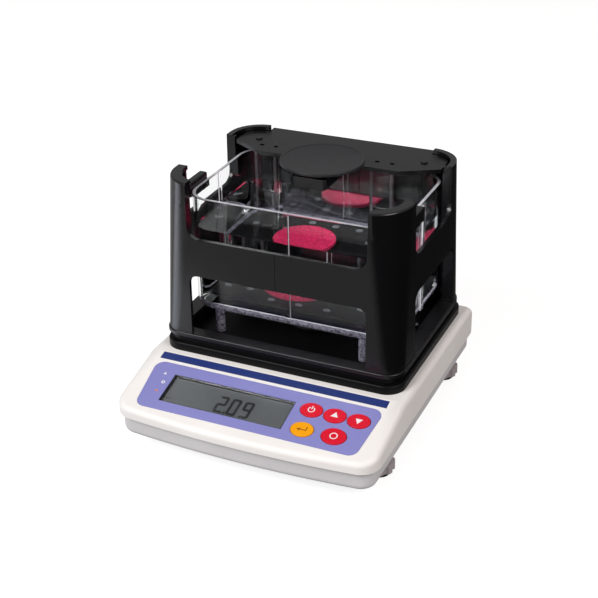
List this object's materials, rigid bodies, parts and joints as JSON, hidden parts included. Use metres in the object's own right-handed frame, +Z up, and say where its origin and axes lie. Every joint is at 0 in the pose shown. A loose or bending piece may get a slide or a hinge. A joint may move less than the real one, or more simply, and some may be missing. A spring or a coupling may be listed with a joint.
{
  "type": "benchtop density meter",
  "caption": "Benchtop density meter: electronic balance base with sloped key panel, black frame round a clear water tank, weighing dish on top and a pan in the water.",
  "frame": {"origin": "on the bench under the middle of the balance chassis's outline", "axes": "+X to the user's right, +Y to the back, +Z up"},
  "size_m": [0.2, 0.224, 0.185],
  "materials": {
    "cover_white": "fine satin, off-white",
    "case_grey": "fine matte",
    "panel_sheet": "lavender polyester film",
    "title_sheet": "navy polyester film",
    "frame_black": "satin black",
    "plate_black": "matte black",
    "dish_black": "matte dark grey",
    "clear_tank": "clear moulded acrylic",
    "clear_hanger": "clear acrylic, polished edges",
    "clear_pane": "clear window",
    "lcd_grey": "grey-green LCD",
    "key_red": "glossy",
    "key_yellow": "glossy",
    "pip_white": "matte",
    "sample_crimson": "smooth rubber",
    "wheel_grey": "matte warm grey",
    "pad_rubber": "matte",
    "board_green": "solder mask",
    "component_black": "moulded",
    "cell_aluminium": "milled",
    "plate_steel": "zinc plated",
    "screw_steel": "zinc plated",
    "insert_brass": "turned",
    "cable_grey": "flat cable"
  },
  "bodies": {
    "base": {"lower_case": "case_grey", "upper_cover": "cover_white", "panel_overlay": "panel_sheet", "title_strip": "title_sheet", "display_frame": "frame_black", "display_window": "clear_pane", "lcd_module": "lcd_grey", "key_board": "board_green", "key_switches": "component_black", "main_board": "board_green", "board_components": "component_black", "load_cell_plate": "plate_steel", "overload_stop": "screw_steel", "board_screws": "screw_steel", "dc_jack": "component_black", "ribbon_cable": "cable_grey", "sensor_cable": "cable_grey", "foot_inserts": "insert_brass", "case_screws": "screw_steel", "load_cell": "cell_aluminium", "tray": "frame_black", "tray_screws": "screw_steel", "frame_front_left": "frame_black", "frame_front_right": "frame_black", "frame_rear_left": "frame_black", "frame_rear_right": "frame_black", "frame_screws": "screw_steel", "tank_guides": "frame_black", "tank_supports": "clear_tank"},
    "key_on_off_body": {"key_on_off": "key_red"},
    "key_up_body": {"key_up": "key_red"},
    "key_down_body": {"key_down": "key_red"},
    "key_enter_body": {"key_enter": "key_yellow"},
    "key_zero_body": {"key_zero": "key_red"},
    "pad_front_left": {"foot_pad_front_left": "pad_rubber"},
    "wheel_front_left": {"foot_wheel_front_left": "wheel_grey"},
    "pad_front_right": {"foot_pad_front_right": "pad_rubber"},
    "wheel_front_right": {"foot_wheel_front_right": "wheel_grey"},
    "pad_rear_left": {"foot_pad_rear_left": "pad_rubber"},
    "wheel_rear_left": {"foot_wheel_rear_left": "wheel_grey"},
    "pad_rear_right": {"foot_pad_rear_right": "pad_rubber"},
    "wheel_rear_right": {"foot_wheel_rear_right": "wheel_grey"},
    "weighing": {"spindle": "cell_aluminium", "weighing_platform": "frame_black"},
    "stage": {"top_plate": "plate_black", "hanger_left": "clear_hanger", "hanger_right": "clear_hanger", "immersed_pan": "plate_black", "pan_pips": "pip_white", "leg_left": "plate_black", "leg_right": "plate_black", "stage_screws": "screw_steel"},
    "tank_body": {"tank": "clear_tank"},
    "dish_body": {"dish": "dish_black"},
    "sample": {"sample_disc": "sample_crimson"}
  },
  "joints": [
    {"name": "key_on_off_press", "type": "slide", "parent": "base", "child": "key_on_off_body", "axis": [0, 0.2419, -0.9703], "range_m": [0, 0.0005], "stiffness_N_per_m": 400, "springref_m": -0.0005},
    {"name": "key_up_press", "type": "slide", "parent": "base", "child": "key_up_body", "axis": [0, 0.2419, -0.9703], "range_m": [0, 0.0005], "stiffness_N_per_m": 400, "springref_m": -0.0005},
    {"name": "key_down_press", "type": "slide", "parent": "base", "child": "key_down_body", "axis": [0, 0.2419, -0.9703], "range_m": [0, 0.0005], "stiffness_N_per_m": 400, "springref_m": -0.0005},
    {"name": "key_enter_press", "type": "slide", "parent": "base", "child": "key_enter_body", "axis": [0, 0.2419, -0.9703], "range_m": [0, 0.0005], "stiffness_N_per_m": 400, "springref_m": -0.0005},
    {"name": "key_zero_press", "type": "slide", "parent": "base", "child": "key_zero_body", "axis": [0, 0.2419, -0.9703], "range_m": [0, 0.0005], "stiffness_N_per_m": 400, "springref_m": -0.0005},
    {"name": "foot_level_front_left", "type": "slide", "parent": "base", "child": "pad_front_left", "axis": [0, 0, 1], "range_m": [-0.005, 0.002]},
    {"name": "foot_turn_front_left", "type": "hinge", "parent": "pad_front_left", "child": "wheel_front_left", "pos_m": [-0.086, -0.0605, 0.007], "axis": [0, 0, 1], "range_deg": [-1801, 721]},
    {"name": "foot_level_front_right", "type": "slide", "parent": "base", "child": "pad_front_right", "axis": [0, 0, 1], "range_m": [-0.005, 0.002]},
    {"name": "foot_turn_front_right", "type": "hinge", "parent": "pad_front_right", "child": "wheel_front_right", "pos_m": [0.086, -0.0605, 0.007], "axis": [0, 0, 1], "range_deg": [-1801, 721]},
    {"name": "foot_level_rear_left", "type": "slide", "parent": "base", "child": "pad_rear_left", "axis": [0, 0, 1], "range_m": [-0.005, 0.002]},
    {"name": "foot_turn_rear_left", "type": "hinge", "parent": "pad_rear_left", "child": "wheel_rear_left", "pos_m": [-0.086, 0.0785, 0.007], "axis": [0, 0, 1], "range_deg": [-1801, 721]},
    {"name": "foot_level_rear_right", "type": "slide", "parent": "base", "child": "pad_rear_right", "axis": [0, 0, 1], "range_m": [-0.005, 0.002]},
    {"name": "foot_turn_rear_right", "type": "hinge", "parent": "pad_rear_right", "child": "wheel_rear_right", "pos_m": [0.086, 0.0785, 0.007], "axis": [0, 0, 1], "range_deg": [-1801, 721]},
    {"name": "weighing_travel", "type": "slide", "parent": "base", "child": "weighing", "axis": [0, 0, 1], "range_m": [-0.0004, 0], "stiffness_N_per_m": 16000, "springref_m": 0.0004, "deforming": ["load_cell"]},
    {"name": "stage_lift", "type": "slide", "parent": "weighing", "child": "stage", "axis": [0, 0, 1], "range_m": [0, 0.24]},
    {"name": "tank_lift", "type": "slide", "parent": "base", "child": "tank_body", "axis": [0, 0, 1], "range_m": [0, 0.1201]},
    {"name": "dish_lift", "type": "slide", "parent": "stage", "child": "dish_body", "axis": [0, 0, 1], "range_m": [0, 0.03]},
    {"name": "sample_lift", "type": "slide", "parent": "stage", "child": "sample", "axis": [0, 0, 1], "range_m": [0, 0.06]}
  ],
  "couplings": [
    {"joint": "foot_turn_front_left", "follows": "foot_level_front_left", "rad_per_m": 6283.2},
    {"joint": "foot_turn_front_right", "follows": "foot_level_front_right", "rad_per_m": 6283.2},
    {"joint": "foot_turn_rear_left", "follows": "foot_level_rear_left", "rad_per_m": 6283.2},
    {"joint": "foot_turn_rear_right", "follows": "foot_level_rear_right", "rad_per_m": 6283.2},
    {"joint": "tank_lift", "follows": "stage_lift", "ratio": 0.5}
  ]
}
